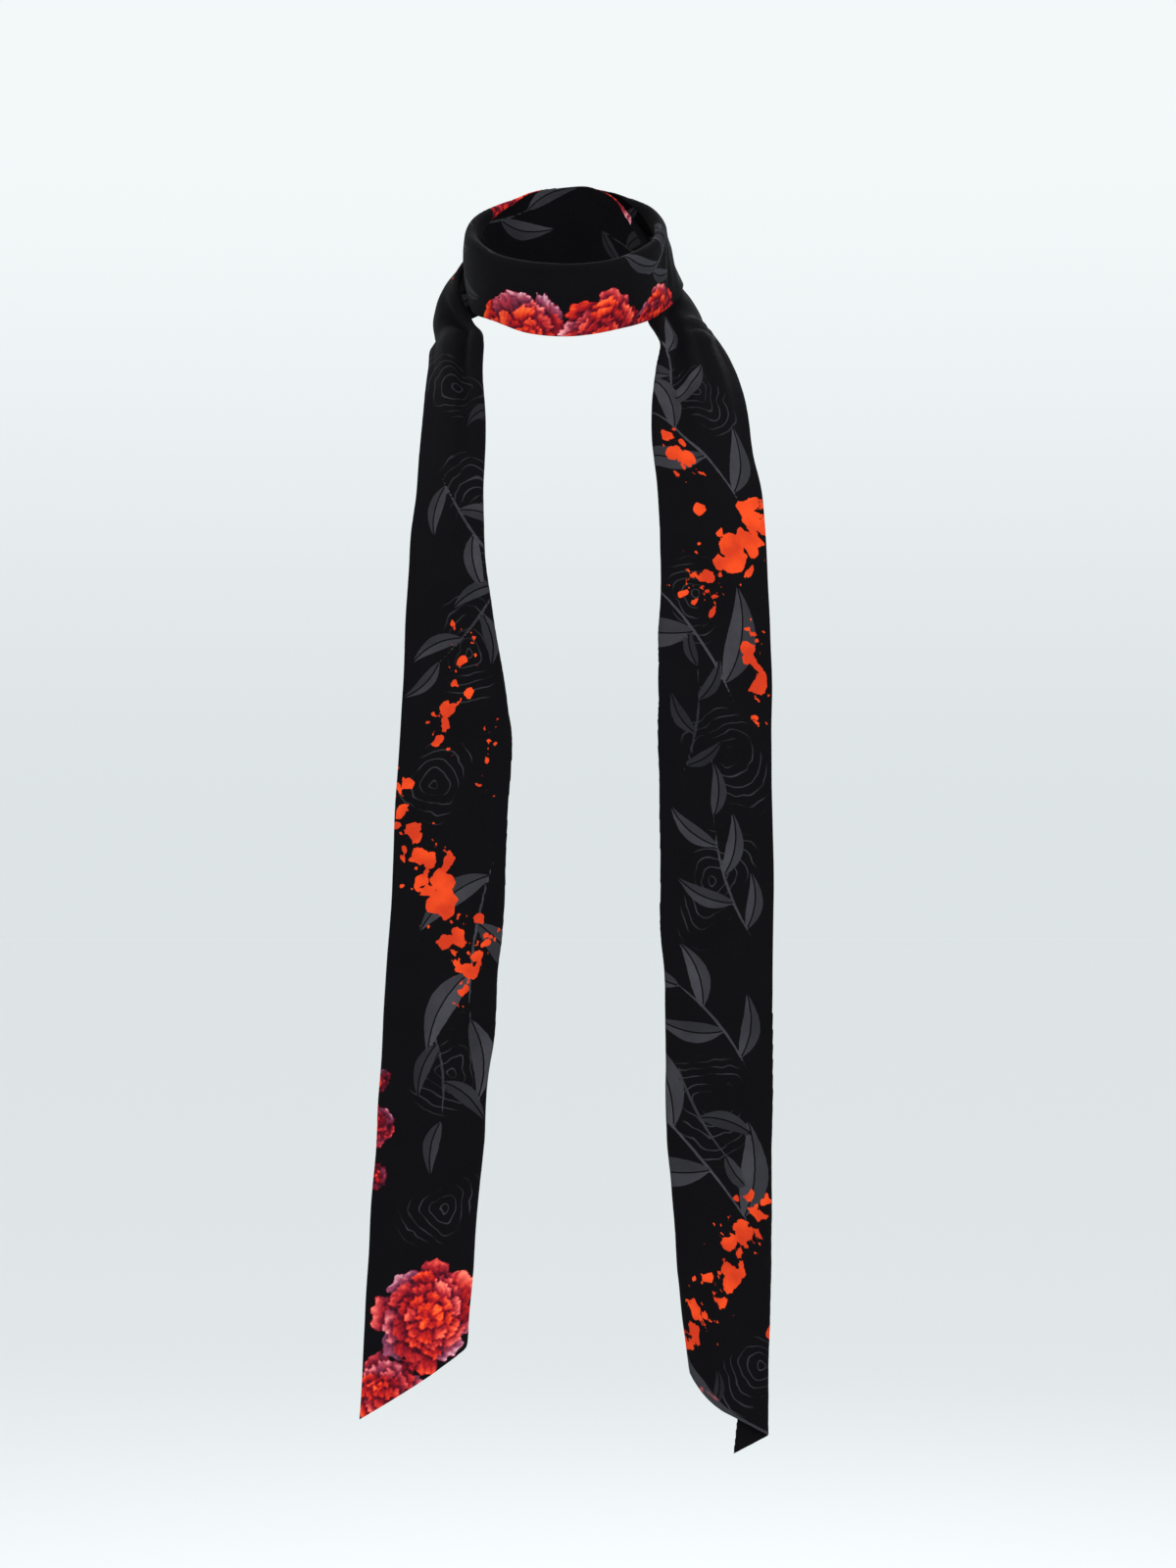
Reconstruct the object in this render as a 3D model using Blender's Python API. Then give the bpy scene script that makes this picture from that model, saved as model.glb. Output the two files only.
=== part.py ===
"""A long narrow stole, worn once round the neck with both ends hanging in front.

One strip of printed cloth, two plies sewn together and turned, is followed from the foot of the right tail
up over the right shoulder, behind the neck, round its front, behind the neck again outside the first pass,
and over the left shoulder to the foot of the left tail. Right and left are the viewer's; +X is right, +Y goes
to the back and +Z is up. The origin is the middle of the neck, at half the height of the wound band.

Each table gives where the strip's two borders lie. The strip keeps its width everywhere: what a stretch
doesn't show of it is turned under at the inner border, as a soft fold towards the neck or the chest.
"""
from collections import namedtuple
import math

import bpy
import numpy as np

MM = 0.001

# Driving sizes of the strip, in millimetres
WIDTH = 78.0
WALL = 1.6
SEAM_GAP = 0.3

# The neck leans forward by this angle, and the band is wound square to it
NECK_LEAN = math.radians(29.0)

# The lengthwise groove that gathers the strip over each shoulder, as shares of the face from its outer border
GROOVE_AT = 0.73
GROOVE_SPREAD = 0.10

# The narrowest panel and the tightest fold, in millimetres
NARROWEST = 1.2

# Steps of the fine surface that the walls are read from, in millimetres
FINE_ALONG = 1.0
FINE_ACROSS = 0.5
FACE_STEPS = 80

# Edges between panels that turn by more than this are sharp
SHARP_FROM = math.radians(50.0)

# The least belly, groove, turned width and fold that a smooth curve through the rows may reach
LEAST_SHAPE = (-10.0, 0.0, 0.0, NARROWEST)

# Panels of the solids: where they meet across the face, as shares of it, how many each border's fold has, and
# their lengths along the strip
FACE_JOINS = [0.0, 0.19, 0.38, 0.56, 0.73, 0.87, 1.0]
FOLD_PANELS = 3
NECK_PANEL = 8.5
TAIL_PANEL = 15.0

# A tail's panels grow longer from the shoulder to its foot, by this power of the way down
TAIL_GRADING = 1.25

# A place where the strip is wound round the neck: the turn from the front, positive to the right, in degrees;
# the radius and height of its lower and its upper border; how far its face swells, or sinks where less than
# nothing; and the radius of the fold there.
Wound = namedtuple("Wound", "turn low_radius low top_radius top belly fold")

# A place on a shoulder or a tail: its outer border, its inner border, the swell of its face, the depth of the
# groove, the width that is turned behind at the outer border, and the radius of its folds.
Hung = namedtuple("Hung", "out_x out_y out_z in_x in_y in_z belly groove turned fold")

# A tail's cut end: its slant over the whole width, and its rounded inner corner's rise up the border and its
# reach across the strip
End = namedtuple("End", "slant rise reach")
RIGHT_END = End(43.0, 29.0, 24.0)
LEFT_END = End(50.0, 8.0, 8.0)

RIGHT_TAIL = [
    Hung(138, -99, -830, 93, -102, -830, 1.0, 0.0, 29.0, 3.0),
    Hung(139, -100, -773, 87, -103, -773, 1.0, 0.0, 23.5, 3.0),
    Hung(140, -102, -707, 78.5, -104, -706, 1.0, 0.0, 14.5, 3.0),
    Hung(141, -103, -640, 72, -105, -639, 1.5, 0.0, 6.0, 3.0),
    Hung(141, -104, -580, 69, -105, -579, 2.0, 0.0, 3.0, 3.0),
    Hung(141, -104, -513, 67, -105, -513, 2.5, 0.0, 0.0, 3.0),
    Hung(142, -104, -439, 66, -105, -439, 2.0, 0.0, 0.0, 3.0),
    Hung(141, -104, -373, 65, -105, -373, 2.0, 0.0, 0.0, 3.0),
    Hung(141, -103, -306, 64, -104, -303, 2.5, 0.0, 0.0, 3.0),
    Hung(139.5, -97, -248, 66, -100, -246, 4.0, 0.5, 0.0, 3.0),
    Hung(135, -81, -173, 63.5, -89, -170, 4.5, 1.5, 0.0, 3.0),
    Hung(129, -63, -133, 60, -79, -129, 5.5, 3.0, 0.0, 3.0),
    Hung(124, -43, -98, 61, -68, -100, 6.0, 5.0, 0.0, 3.0),
    Hung(116, -24, -72, 63, -58, -80, 7.0, 7.0, 0.0, 3.0),
    Hung(108, -10, -56, 66.5, -46, -60, 8.0, 8.0, 0.0, 3.0),
    Hung(105, 2, -50, 62.5, -31, -48, 8.5, 7.0, 0.0, 3.0),
    Hung(102, 14, -47, 58, -20, -38, 10.5, 5.0, 0.0, 2.6),
    Hung(99, 30, -42, 63, -8, -19, 10.3, 2.0, 0.0, 2.4),
    Hung(92, 44, -36, 65, 8, 1, 7.0, 0.0, 0.0, 2.4),
]

CROSS_UNDER = [
    Wound(115, 80.5, -56, 67.5, 8, 3.0, 2.4),
    Wound(126, 75.0, -54, 67.0, 16, 2.0, 2.4),
    Wound(138, 70.5, -50, 66.5, 24, 1.0, 2.4),
    Wound(152, 67.5, -44, 66.5, 33, 0.0, 2.4),
    Wound(166, 66.5, -40, 66.5, 38, 0.0, 2.4),
    Wound(180, 66.5, -41, 66.5, 37, 0.0, 2.4),
    Wound(196, 67.0, -42, 67.0, 35, 0.0, 2.4),
]

NECK_LOOP = [
    Wound(-150, 67.5, -43, 68.0, 32, 0.5, 2.6),
    Wound(-130, 67.0, -40, 70.0, 30, 1.0, 3.0),
    Wound(-110, 67.0, -34, 72.0, 29, 1.5, 3.6),
    Wound(-90, 68.0, -28, 72.5, 27, 3.0, 4.2),
    Wound(-70, 70.0, -27, 72.0, 27, 3.0, 4.2),
    Wound(-45, 71.0, -23.5, 71.5, 25.5, 3.0, 4.0),
    Wound(-22, 71.0, -26.5, 70.5, 25, 2.5, 3.8),
    Wound(0, 71.0, -27, 70.0, 25, 2.5, 3.6),
    Wound(30, 72.0, -25, 70.0, 25.5, 2.5, 3.6),
    Wound(60, 74.5, -24, 70.0, 27.5, 1.0, 3.8),
    Wound(75, 80.0, -19, 70.0, 28.5, -1.5, 3.8),
    Wound(90, 83.5, -16, 70.0, 29, -2.5, 3.8),
    Wound(105, 84.0, -20, 70.5, 31, -0.5, 3.6),
    Wound(120, 80.0, -31, 71.0, 33, 0.5, 3.0),
    Wound(135, 76.0, -39, 71.0, 33, 0.0, 2.6),
    Wound(150, 73.5, -43, 71.0, 33, 0.0, 2.4),
]

CROSS_OVER = [
    Wound(165, 72.0, -43, 71.0, 34, 0.0, 2.4),
    Wound(180, 72.5, -45, 71.0, 32, 0.0, 2.4),
    Wound(195, 74.0, -49, 72.5, 27.5, 0.5, 2.4),
    Wound(210, 77.5, -53, 75.5, 19, 1.5, 2.4),
    Wound(225, 83.0, -56, 79.0, 8, 3.0, 2.4),
    Wound(240, 89.5, -60, 82.0, -3, 6.5, 2.4),
    Wound(255, 94.5, -61, 83.0, -13, 8.0, 2.4),
]

LEFT_TAIL = [
    Hung(-94, 36, -49, -79, 8, -17, 6.5, 4.0, 0.0, 2.4),
    Hung(-94, 21, -53, -68, -4, -39, 6.0, 6.5, 0.0, 2.5),
    Hung(-95, 7, -56, -60, -17, -48, 7.0, 8.0, 0.0, 2.8),
    Hung(-97.5, -8, -63, -59, -33, -55, 6.5, 8.0, 0.0, 3.2),
    Hung(-97.5, -24, -75, -59, -50, -75, 7.0, 7.0, 0.0, 3.0),
    Hung(-99, -48, -108, -56, -68, -108, 5.0, 3.0, 0.0, 3.0),
    Hung(-102, -68, -148, -56, -84, -149, 4.0, 1.0, 0.0, 3.0),
    Hung(-104, -82, -180, -56, -94, -180, 4.0, 0.0, 0.0, 3.0),
    Hung(-107, -93, -211, -55, -100, -212, 4.0, 0.0, 0.0, 3.0),
    Hung(-109, -99, -258, -49, -104, -262, 3.0, 0.0, 0.0, 3.0),
    Hung(-111, -102, -306, -41, -106, -306, 2.0, 0.0, 0.0, 3.0),
    Hung(-113, -102, -339, -38, -106, -339, 2.0, 0.0, 0.0, 3.0),
    Hung(-116, -102, -386, -39, -105, -386, 2.0, 0.0, 0.0, 3.0),
    Hung(-118, -103, -439, -42, -105, -439, 1.5, 0.0, 0.0, 3.0),
    Hung(-122, -103, -493, -46, -105, -496, 1.5, 0.0, 0.0, 3.0),
    Hung(-128.5, -103, -606, -55.5, -103, -606, 4.0, 0.0, 0.0, 3.0),
    Hung(-134, -103, -690, -62, -99, -690, 7.0, 0.0, 0.0, 3.0),
    Hung(-140.5, -103, -805, -69.5, -93, -805, 8.0, 0.0, 0.0, 3.0),
]


def on_neck(turn, radius, height):
    """A place in millimetres: turned round the neck's leaning axis from the front, and raised along it."""
    sideways = radius * math.sin(math.radians(turn))
    backwards = -radius * math.cos(math.radians(turn))
    return (
        sideways,
        backwards * math.cos(NECK_LEAN) - height * math.sin(NECK_LEAN),
        backwards * math.sin(NECK_LEAN) + height * math.cos(NECK_LEAN),
    )


def as_row(place):
    """One row of ten numbers from either kind of place, in the order of Hung."""
    if isinstance(place, Hung):
        return tuple(place)
    low = on_neck(place.turn, place.low_radius, place.low)
    top = on_neck(place.turn, place.top_radius, place.top)
    return (*low, *top, place.belly, 0.0, 0.0, place.fold)


def smooth_between(at, rows, wanted):
    """Rows read from a smooth curve through the given ones, at the wanted distances."""
    slopes = np.gradient(rows, at, axis=0)
    spot = np.clip(np.searchsorted(at, wanted, side="right") - 1, 0, len(at) - 2)
    span = (at[spot + 1] - at[spot])[:, None]
    x = (wanted - at[spot])[:, None] / span
    start, end = rows[spot], rows[spot + 1]
    rise, fall = slopes[spot] * span, slopes[spot + 1] * span
    return (
        start * (1 + 2 * x) * (1 - x) ** 2
        + rise * x * (1 - x) ** 2
        + end * x * x * (3 - 2 * x)
        - fall * x * x * (1 - x)
    )


def lengths_along(points):
    """The distance from the first point of a line to each of its points."""
    steps = np.linalg.norm(np.diff(points, axis=0), axis=1)
    return np.concatenate([[0.0], np.cumsum(steps)])


def curl(start, heading, length, radius):
    """Points of a border that turns behind the face: round the fold, then straight back along the chord."""
    count = max(int(length / FINE_ACROSS), 0)
    run = np.arange(1, count + 1) * FINE_ACROSS
    headings = np.maximum(heading - run / radius, -math.pi)
    steps = FINE_ACROSS * np.stack([np.cos(headings), np.sin(headings)], axis=1)
    return np.asarray(start) + np.cumsum(steps, axis=0)


def face_line(chord, belly, groove):
    """The face's own cross-section: along the chord from the outer border, and outwards from it."""
    share = np.linspace(0.0, 1.0, FACE_STEPS + 1)
    swell = 4 * belly * share * (1 - share)
    dip = groove * np.exp(-(((share - GROOVE_AT) / GROOVE_SPREAD) ** 2))
    return np.stack([share * chord, swell - dip], axis=1)


def set_back(length, radius):
    """How far a fold's start lies inside its crown; a narrow turned edge stands out less than a whole one."""
    return radius * min(length / (radius * math.pi / 2), 1.0)


def section(chord, belly, groove, turned, fold):
    """The cross-section in equal steps of the strip's width, and the widths where its face starts and ends."""
    whole = face_line(chord, belly, groove)
    left_over = max(WIDTH - lengths_along(whole)[-1] - turned, 0.0)
    before, after = set_back(turned, fold), set_back(left_over, fold)
    face = face_line(chord - before - after, belly, groove) + (before, 0.0)
    left_over = max(WIDTH - lengths_along(face)[-1] - turned, 0.0)
    rise, dip = face[-1] - face[-2], face[0] - face[1]
    inner = curl(face[-1], math.atan2(rise[1], rise[0]), left_over, fold)
    outer = curl((-face[0][0], face[0][1]), math.atan2(dip[1], -dip[0]), turned, fold)
    line = np.concatenate([(outer * (-1, 1))[::-1], face, inner])
    along = lengths_along(line)
    even = np.linspace(0.0, along[-1], round(WIDTH / FINE_ACROSS) + 1)
    points = np.stack([np.interp(even, along, line[:, 0]), np.interp(even, along, line[:, 1])], axis=1)
    face_ends = along[[len(outer), len(outer) + len(face) - 1]] * WIDTH / along[-1]
    return points, face_ends


def unit(vectors):
    return vectors / np.linalg.norm(vectors, axis=-1, keepdims=True)


class Strip:
    """The strip's middle surface and its outward direction, by distance along it and across it."""

    def __init__(self, stretches):
        rows = np.array([as_row(place) for stretch in stretches for place in stretch], float)
        middles = (rows[:, 0:3] + rows[:, 3:6]) / 2
        at = lengths_along(middles)
        self.length = at[-1]
        self.starts = self.joins(at, stretches)
        wanted = np.linspace(0.0, self.length, round(self.length / FINE_ALONG) + 1)
        fine = smooth_between(at, rows, wanted)
        outer, inner = fine[:, 0:3], fine[:, 3:6]
        ahead = np.gradient((outer + inner) / 2, axis=0)
        chords = np.linalg.norm(inner - outer, axis=1)
        across = unit(inner - outer)
        outwards = unit(np.cross(ahead, across))
        self.surface = np.empty((len(wanted), round(WIDTH / FINE_ACROSS) + 1, 3))
        self.face_ends = np.empty((len(wanted), 2))
        self.folds = fine[:, 9]
        for i, (chord, shape) in enumerate(zip(chords, fine[:, 6:10].clip(LEAST_SHAPE))):
            flat, self.face_ends[i] = section(chord, *shape)
            self.surface[i] = outer[i] + flat[:, :1] * across[i] + flat[:, 1:] * outwards[i]
        along_step = np.gradient(self.surface, axis=0)
        across_step = np.gradient(self.surface, axis=1)
        self.normals = unit(np.cross(along_step, across_step))

    @staticmethod
    def joins(at, stretches):
        """Where each stretch starts: halfway between its first place and the one before it."""
        starts, index = [0.0], 0
        for stretch in stretches[:-1]:
            index += len(stretch)
            starts.append((at[index - 1] + at[index]) / 2)
        return starts + [at[-1]]

    def columns(self, along):
        """Widths of the solid's columns at distances along the strip: its folds run down whole columns."""
        rows = len(self.folds) - 1
        at = np.clip(along / self.length * rows, 0, rows)
        steps = np.arange(rows + 1)
        start = np.interp(at, steps, self.face_ends[:, 0])
        end = np.interp(at, steps, self.face_ends[:, 1])
        bend = math.pi * np.interp(at, steps, self.folds)
        least = NARROWEST * FOLD_PANELS
        start, end = np.maximum(start, least), np.minimum(end, WIDTH - least)
        before = np.minimum(bend, start * (FOLD_PANELS - 1) / FOLD_PANELS)
        after = np.minimum(bend, (WIDTH - end) * (FOLD_PANELS - 1) / FOLD_PANELS)
        shares = np.linspace(0.0, 1.0, FOLD_PANELS)
        widths = [np.zeros_like(start)]
        widths += [start - before * (1 - share) for share in shares[:-1]]
        widths += [start + (end - start) * share for share in FACE_JOINS]
        widths += [end + after * share for share in shares[1:]]
        widths += [np.full_like(start, WIDTH)]
        return np.stack(widths, axis=-1)

    def read(self, grid, along, across):
        """Values of a grid between its points."""
        rows, columns = grid.shape[0] - 1, grid.shape[1] - 1
        a = np.clip(along / self.length * rows, 0, rows - 1e-6)
        b = np.clip(across / WIDTH * columns, 0, columns - 1e-6)
        i, j = a.astype(int), b.astype(int)
        s, t = (a - i)[..., None], (b - j)[..., None]
        low = grid[i, j] * (1 - t) + grid[i, j + 1] * t
        high = grid[i + 1, j] * (1 - t) + grid[i + 1, j + 1] * t
        return low * (1 - s) + high * s


def slanted_end(across, end):
    """How far short of its point a tail ends, for each distance across: a slant with one corner rounded."""
    past = np.clip((across - (WIDTH - end.reach)) / end.reach, 0, 1)
    return end.slant * across / WIDTH + end.rise * (1 - np.sqrt(1 - past**2))


def panel_shares(name, length):
    """Where the cross-seams of a stretch's panels lie, as shares of its length."""
    if not name.startswith("tail"):
        return np.linspace(0.0, 1.0, round(length / NECK_PANEL) + 1)
    from_shoulder = np.linspace(0.0, 1.0, round(length / TAIL_PANEL) + 1) ** TAIL_GRADING
    return from_shoulder if name == "tail_left" else 1.0 - from_shoulder[::-1]


def make_wall(strip, name, start, end, colour):
    """A closed wall over one stretch of the strip; start and end give a width's distances along it."""
    middle_width = np.array(WIDTH / 2)
    share = panel_shares(name, end(middle_width) - start(middle_width))
    widths = strip.columns(start(middle_width) * (1 - share) + end(middle_width) * share)
    for _ in range(3):
        along = start(widths) * (1 - share[:, None]) + end(widths) * share[:, None]
        own = strip.columns(along)
        widths = own[:, np.arange(own.shape[1]), np.arange(own.shape[2])]
    middle = strip.read(strip.surface, along, widths)
    outwards = unit(strip.read(strip.normals, along, widths))
    layers = [middle + outwards * WALL / 2, middle - outwards * WALL / 2]
    points = np.concatenate([layer.reshape(-1, 3) for layer in layers]) * MM

    rows, columns = along.shape
    layer_size = rows * columns

    def spot(layer, i, j):
        return layer * layer_size + i * columns + j

    faces = []
    for i in range(rows - 1):
        for j in range(columns - 1):
            faces.append([spot(0, i, j), spot(0, i + 1, j), spot(0, i + 1, j + 1), spot(0, i, j + 1)])
            faces.append([spot(1, i, j), spot(1, i, j + 1), spot(1, i + 1, j + 1), spot(1, i + 1, j)])
        last = columns - 1
        faces.append([spot(0, i, 0), spot(1, i, 0), spot(1, i + 1, 0), spot(0, i + 1, 0)])
        faces.append([spot(0, i, last), spot(0, i + 1, last), spot(1, i + 1, last), spot(1, i, last)])
    for j in range(columns - 1):
        last = rows - 1
        faces.append([spot(0, 0, j), spot(0, 0, j + 1), spot(1, 0, j + 1), spot(1, 0, j)])
        faces.append([spot(0, last, j), spot(1, last, j), spot(1, last, j + 1), spot(0, last, j + 1)])

    mesh = bpy.data.meshes.new(name)
    mesh.from_pydata(points.tolist(), [], faces)
    mesh.materials.append(cloth(name, colour))
    mesh.shade_smooth()
    mesh.set_sharp_from_angle(angle=SHARP_FROM)
    wall = bpy.data.objects.new(name, mesh)
    bpy.context.collection.objects.link(wall)
    return wall


def cloth(name, colour):
    """Matt printed cloth."""
    material = bpy.data.materials.new(name)
    material.use_nodes = True
    shader = material.node_tree.nodes["Principled BSDF"]
    shader.inputs["Base Color"].default_value = (*colour, 1.0)
    shader.inputs["Roughness"].default_value = 0.85
    shader.inputs["Metallic"].default_value = 0.0
    return material


BLACK_PRINT = (0.022, 0.021, 0.026)
NODES = ["tail_right", "cross_under", "neck_loop", "cross_over", "tail_left"]


def build():
    for old in list(bpy.data.objects):
        bpy.data.objects.remove(old)
    strip = Strip([RIGHT_TAIL, CROSS_UNDER, NECK_LOOP, CROSS_OVER, LEFT_TAIL])
    for index, name in enumerate(NODES):
        first, last = strip.starts[index], strip.starts[index + 1]

        def start(across, first=first, index=index):
            if index == 0:
                return slanted_end(across, RIGHT_END)
            return np.full_like(across, first + SEAM_GAP / 2)

        def end(across, last=last, index=index):
            if index == len(NODES) - 1:
                return strip.length - slanted_end(across, LEFT_END)
            return np.full_like(across, last - SEAM_GAP / 2)

        make_wall(strip, name, start, end, BLACK_PRINT)
    return strip


strip = build()
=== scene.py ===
"""The looks of a long narrow stole, worn once round the neck with both ends hanging in front.

The strip is one surface, from the foot of the right tail round the neck to that of the left tail, by the same
places as the solids. Here it becomes two thin plies sewn along their borders, with soft folds, gathers at the
shoulders and a print laid by the strip's own distances. Right and left are the viewer's; +X is right, +Y goes
to the back and +Z is up. Lengths are in millimetres until a mesh is made.
"""
from collections import namedtuple
import math

import bpy
import numpy as np
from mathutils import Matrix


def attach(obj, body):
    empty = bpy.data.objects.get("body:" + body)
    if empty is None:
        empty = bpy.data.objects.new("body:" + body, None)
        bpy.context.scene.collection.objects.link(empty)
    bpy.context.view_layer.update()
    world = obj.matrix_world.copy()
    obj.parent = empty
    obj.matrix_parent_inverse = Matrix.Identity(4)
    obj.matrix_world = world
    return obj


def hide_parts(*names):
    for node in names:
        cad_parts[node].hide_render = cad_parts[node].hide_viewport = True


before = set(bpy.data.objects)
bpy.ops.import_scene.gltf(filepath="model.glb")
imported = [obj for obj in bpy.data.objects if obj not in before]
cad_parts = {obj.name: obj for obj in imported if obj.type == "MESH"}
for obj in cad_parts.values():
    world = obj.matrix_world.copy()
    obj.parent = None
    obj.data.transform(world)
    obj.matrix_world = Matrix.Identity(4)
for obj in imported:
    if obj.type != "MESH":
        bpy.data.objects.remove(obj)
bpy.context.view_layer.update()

MM = 0.001

# The strip's width, and how far the neck leans forward. The band is wound square to it.
WIDTH = 78.0
NECK_LEAN = math.radians(29.0)

# The lengthwise groove that gathers the strip over each shoulder, as shares of the face from its outer border
GROOVE_AT = 0.73
GROOVE_SPREAD = 0.10

# The least belly, groove, turned width and fold that a smooth curve through the rows may reach
LEAST_SHAPE = (-10.0, 0.0, 0.0, 1.2)

# Steps of the fine surface that the cloth is read from
FINE_ALONG = 1.0
FINE_ACROSS = 0.5
FACE_STEPS = 80

# Half the thickness of the two plies, and how far in from its edge the cloth is rounded
HALF_PLY = 0.58
EDGE_ROUND = 0.9

# How much the seam allowance adds to that half, how wide it is, and the width over which it thins out
ALLOWANCE = 0.16
ALLOWANCE_WIDTH = 7.0
ALLOWANCE_STEP = 1.5

# How far the backing ply rolls to the front at the right tail's foot, by places across the strip
ROLLED_AT = (0.0, 40.0, 58.0, 66.0, 74.0, 78.0)
ROLLED_WIDTHS = (3.6, 4.0, 7.0, 7.0, 3.6, 1.4)

# The mesh: columns across each side, their spacing beside a border, and rows along each half of the strip
BORDER_STEPS = (0.0, 0.1, 0.35, 0.75, 1.3, 2.1, 3.3, 4.9)
MIDDLE_COLUMNS = 46
ROWS = 800

# A place where the strip is wound round the neck: the turn from the front, positive to the right, in degrees;
# the radius and height of its lower and its upper border; how far its face swells, or sinks where less than
# nothing; and the radius of the fold there.
Wound = namedtuple("Wound", "turn low_radius low top_radius top belly fold")

# A place on a shoulder or a tail: its outer border, its inner border, the swell of its face, the depth of the
# groove, the width turned behind at the outer border, and the radius of its folds.
Hung = namedtuple("Hung", "out_x out_y out_z in_x in_y in_z belly groove turned fold")

# A tail's cut end: its slant over the whole width, and its rounded inner corner's rise up the border and its
# reach across the strip
End = namedtuple("End", "slant rise reach")
RIGHT_END = End(43.0, 29.0, 24.0)
LEFT_END = End(50.0, 8.0, 8.0)

RIGHT_TAIL = [
    Hung(138, -99, -830, 93, -102, -830, 1.0, 0.0, 29.0, 3.0),
    Hung(139, -100, -773, 87, -103, -773, 1.0, 0.0, 23.5, 3.0),
    Hung(140, -102, -707, 78.5, -104, -706, 1.0, 0.0, 14.5, 3.0),
    Hung(141, -103, -640, 72, -105, -639, 1.5, 0.0, 6.0, 3.0),
    Hung(141, -104, -580, 69, -105, -579, 2.0, 0.0, 3.0, 3.0),
    Hung(141, -104, -513, 67, -105, -513, 2.5, 0.0, 0.0, 3.0),
    Hung(142, -104, -439, 66, -105, -439, 2.0, 0.0, 0.0, 3.0),
    Hung(141, -104, -373, 65, -105, -373, 2.0, 0.0, 0.0, 3.0),
    Hung(141, -103, -306, 64, -104, -303, 2.5, 0.0, 0.0, 3.0),
    Hung(139.5, -97, -248, 66, -100, -246, 4.0, 0.5, 0.0, 3.0),
    Hung(135, -81, -173, 63.5, -89, -170, 4.5, 1.5, 0.0, 3.0),
    Hung(129, -63, -133, 60, -79, -129, 5.5, 3.0, 0.0, 3.0),
    Hung(124, -43, -98, 61, -68, -100, 6.0, 5.0, 0.0, 3.0),
    Hung(116, -24, -72, 63, -58, -80, 7.0, 7.0, 0.0, 3.0),
    Hung(108, -10, -56, 66.5, -46, -60, 8.0, 8.0, 0.0, 3.0),
    Hung(105, 2, -50, 62.5, -31, -48, 8.5, 7.0, 0.0, 3.0),
    Hung(102, 14, -47, 58, -20, -38, 10.5, 5.0, 0.0, 2.6),
    Hung(99, 30, -42, 63, -8, -19, 10.3, 2.0, 0.0, 2.4),
    Hung(92, 44, -36, 65, 8, 1, 7.0, 0.0, 0.0, 2.4),
]

CROSS_UNDER = [
    Wound(115, 80.5, -56, 67.5, 8, 3.0, 2.4),
    Wound(126, 75.0, -54, 67.0, 16, 2.0, 2.4),
    Wound(138, 70.5, -50, 66.5, 24, 1.0, 2.4),
    Wound(152, 67.5, -44, 66.5, 33, 0.0, 2.4),
    Wound(166, 66.5, -40, 66.5, 38, 0.0, 2.4),
    Wound(180, 66.5, -41, 66.5, 37, 0.0, 2.4),
    Wound(196, 67.0, -42, 67.0, 35, 0.0, 2.4),
]

NECK_LOOP = [
    Wound(-150, 67.5, -43, 68.0, 32, 0.5, 2.6),
    Wound(-130, 67.0, -40, 70.0, 30, 1.0, 3.0),
    Wound(-110, 67.0, -34, 72.0, 29, 1.5, 3.6),
    Wound(-90, 68.0, -28, 72.5, 27, 3.0, 4.2),
    Wound(-70, 70.0, -27, 72.0, 27, 3.0, 4.2),
    Wound(-45, 71.0, -23.5, 71.5, 25.5, 3.0, 4.0),
    Wound(-22, 71.0, -26.5, 70.5, 25, 2.5, 3.8),
    Wound(0, 71.0, -27, 70.0, 25, 2.5, 3.6),
    Wound(30, 72.0, -25, 70.0, 25.5, 2.5, 3.6),
    Wound(60, 74.5, -24, 70.0, 27.5, 1.0, 3.8),
    Wound(75, 80.0, -19, 70.0, 28.5, -1.5, 3.8),
    Wound(90, 83.5, -16, 70.0, 29, -2.5, 3.8),
    Wound(105, 84.0, -20, 70.5, 31, -0.5, 3.6),
    Wound(120, 80.0, -31, 71.0, 33, 0.5, 3.0),
    Wound(135, 76.0, -39, 71.0, 33, 0.0, 2.6),
    Wound(150, 73.5, -43, 71.0, 33, 0.0, 2.4),
]

CROSS_OVER = [
    Wound(165, 72.0, -43, 71.0, 34, 0.0, 2.4),
    Wound(180, 72.5, -45, 71.0, 32, 0.0, 2.4),
    Wound(195, 74.0, -49, 72.5, 27.5, 0.5, 2.4),
    Wound(210, 77.5, -53, 75.5, 19, 1.5, 2.4),
    Wound(225, 83.0, -56, 79.0, 8, 3.0, 2.4),
    Wound(240, 89.5, -60, 82.0, -3, 6.5, 2.4),
    Wound(255, 94.5, -61, 83.0, -13, 8.0, 2.4),
]

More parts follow.
